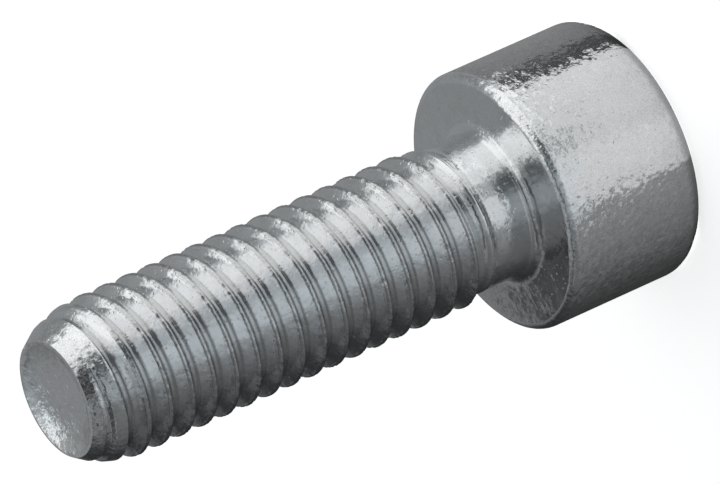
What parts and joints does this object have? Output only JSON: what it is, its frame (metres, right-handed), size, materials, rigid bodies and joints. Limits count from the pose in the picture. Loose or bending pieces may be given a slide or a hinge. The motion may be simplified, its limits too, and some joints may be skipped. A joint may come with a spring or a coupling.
{
  "type": "cylinder head screw",
  "caption": "Cylinder head screw with a hexagon socket and a rolled metric thread up to a short plain neck, zinc-plated steel.",
  "frame": {"origin": "centre of the top of the head, where the screw stands", "axes": "+Z along the screw's axis, from the head to the tip; +X through a corner of the hexagon socket"},
  "size_m": [0.013, 0.013, 0.0327],
  "materials": {
    "zinc_plated_steel": "bright zinc plating, slightly grainy, with small rub marks"
  },
  "bodies": {
    "root": {"screw": "zinc_plated_steel"}
  },
  "joints": []
}
